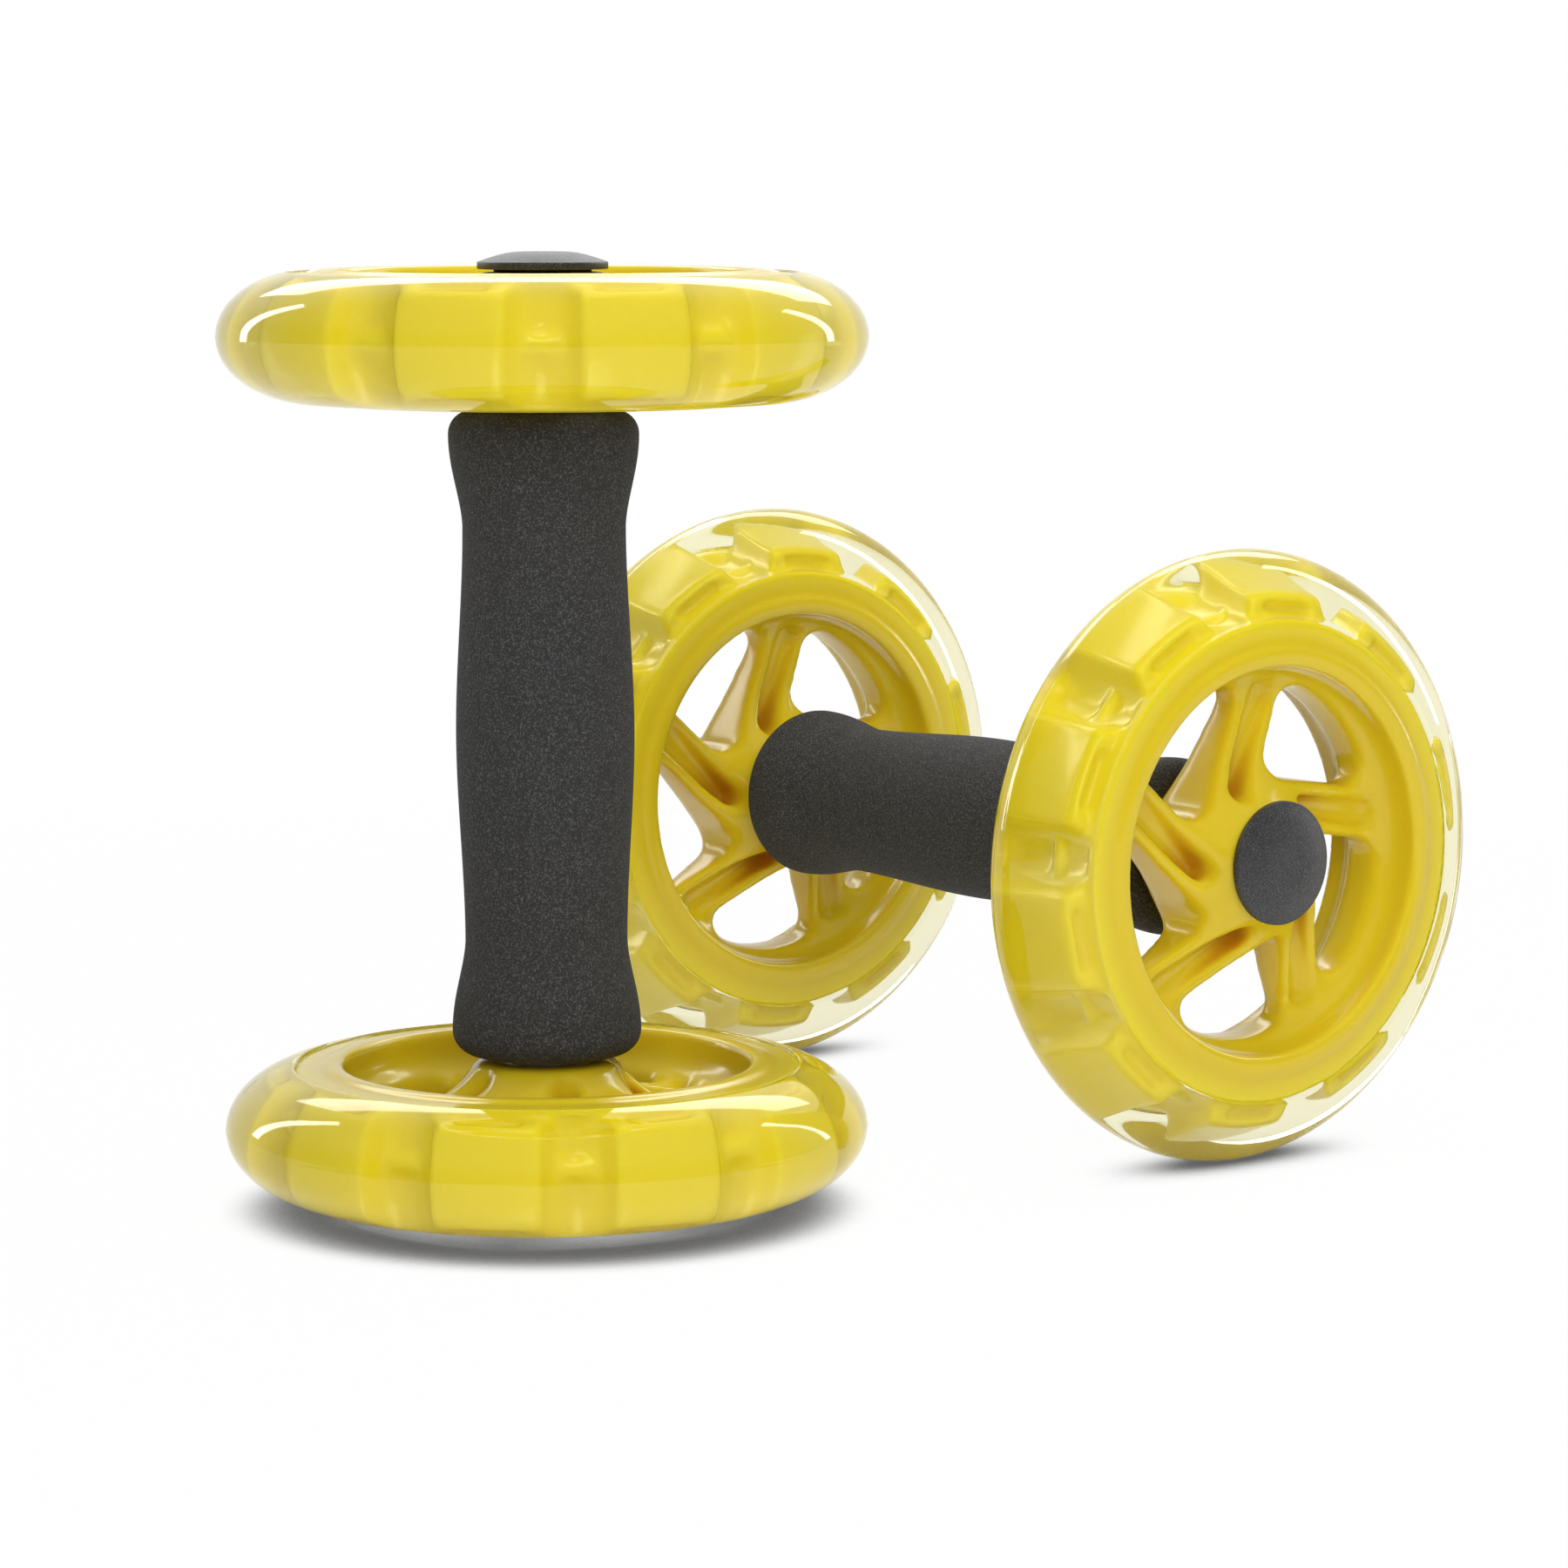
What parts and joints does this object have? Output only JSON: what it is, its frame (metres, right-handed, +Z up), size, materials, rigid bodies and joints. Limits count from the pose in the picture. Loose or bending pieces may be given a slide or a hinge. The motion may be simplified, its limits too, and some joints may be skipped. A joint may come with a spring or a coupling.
{
  "type": "ab wheel roller",
  "caption": "Pair of hand-held ab rollers, each a waisted foam grip on an axle between free-spinning clear-tyred five-spoke wheels.",
  "frame": {"origin": "on the floor, at the centre of the standing roller's lower hub cap", "axes": "+Z up along the standing roller's axis, +X the way the lying roller rolls, away from the standing one, +Y along the lying roller's axis towards its rear wheel"},
  "size_m": [0.3177, 0.2256, 0.2256],
  "materials": {
    "core_yellow": "gloss",
    "clear_tyre": "clear gloss",
    "grip_foam": "matte",
    "cap_black": "fine texture",
    "steel": "zinc plated",
    "tube_alloy": "drawn",
    "bush_plastic": "moulded",
    "plug_plastic": "moulded"
  },
  "bodies": {
    "standing_handle": {"standing_foam_grip": "grip_foam", "standing_handle_tube": "tube_alloy", "standing_axle": "steel", "standing_top_thrust_washer": "steel", "standing_top_retaining_washer": "steel", "standing_top_lock_nut": "steel", "standing_top_end_plug": "plug_plastic", "standing_bottom_thrust_washer": "steel", "standing_bottom_retaining_washer": "steel", "standing_bottom_lock_nut": "steel", "standing_bottom_end_plug": "plug_plastic"},
    "standing_top_wheel": {"standing_top_core": "core_yellow", "standing_top_tyre": "clear_tyre", "standing_top_inner_bush": "bush_plastic", "standing_top_outer_bush": "bush_plastic", "standing_top_hub_cap": "cap_black"},
    "standing_bottom_wheel": {"standing_bottom_core": "core_yellow", "standing_bottom_tyre": "clear_tyre", "standing_bottom_inner_bush": "bush_plastic", "standing_bottom_outer_bush": "bush_plastic", "standing_bottom_hub_cap": "cap_black"},
    "lying_handle": {"lying_foam_grip": "grip_foam", "lying_handle_tube": "tube_alloy", "lying_axle": "steel", "lying_front_thrust_washer": "steel", "lying_front_retaining_washer": "steel", "lying_front_lock_nut": "steel", "lying_front_end_plug": "plug_plastic", "lying_rear_thrust_washer": "steel", "lying_rear_retaining_washer": "steel", "lying_rear_lock_nut": "steel", "lying_rear_end_plug": "plug_plastic"},
    "lying_front_wheel": {"lying_front_core": "core_yellow", "lying_front_tyre": "clear_tyre", "lying_front_inner_bush": "bush_plastic", "lying_front_outer_bush": "bush_plastic", "lying_front_hub_cap": "cap_black"},
    "lying_rear_wheel": {"lying_rear_core": "core_yellow", "lying_rear_tyre": "clear_tyre", "lying_rear_inner_bush": "bush_plastic", "lying_rear_outer_bush": "bush_plastic", "lying_rear_hub_cap": "cap_black"}
  },
  "joints": [
    {"name": "standing_top_wheel_spin", "type": "hinge", "parent": "standing_handle", "child": "standing_top_wheel", "pos_m": [0, 0, 0.2061], "axis": [0, 0, 1], "continuous": true},
    {"name": "standing_bottom_wheel_spin", "type": "hinge", "parent": "standing_handle", "child": "standing_bottom_wheel", "pos_m": [0, 0, 0.0195], "axis": [0, 0, 1], "continuous": true},
    {"name": "lying_roll", "type": "slide", "parent": "standing_handle", "child": "lying_handle", "axis": [1, 0, 0], "range_m": [-0.04, 0.44]},
    {"name": "lying_front_wheel_spin", "type": "hinge", "parent": "lying_handle", "child": "lying_front_wheel", "pos_m": [0.1657, -0.061, 0.076], "axis": [0, 1, 0], "continuous": true},
    {"name": "lying_rear_wheel_spin", "type": "hinge", "parent": "lying_handle", "child": "lying_rear_wheel", "pos_m": [0.1657, 0.1256, 0.076], "axis": [0, 1, 0], "continuous": true}
  ],
  "couplings": [
    {"joint": "lying_front_wheel_spin", "follows": "lying_roll", "rad_per_m": 13.158},
    {"joint": "lying_rear_wheel_spin", "follows": "lying_roll", "rad_per_m": 13.158}
  ]
}
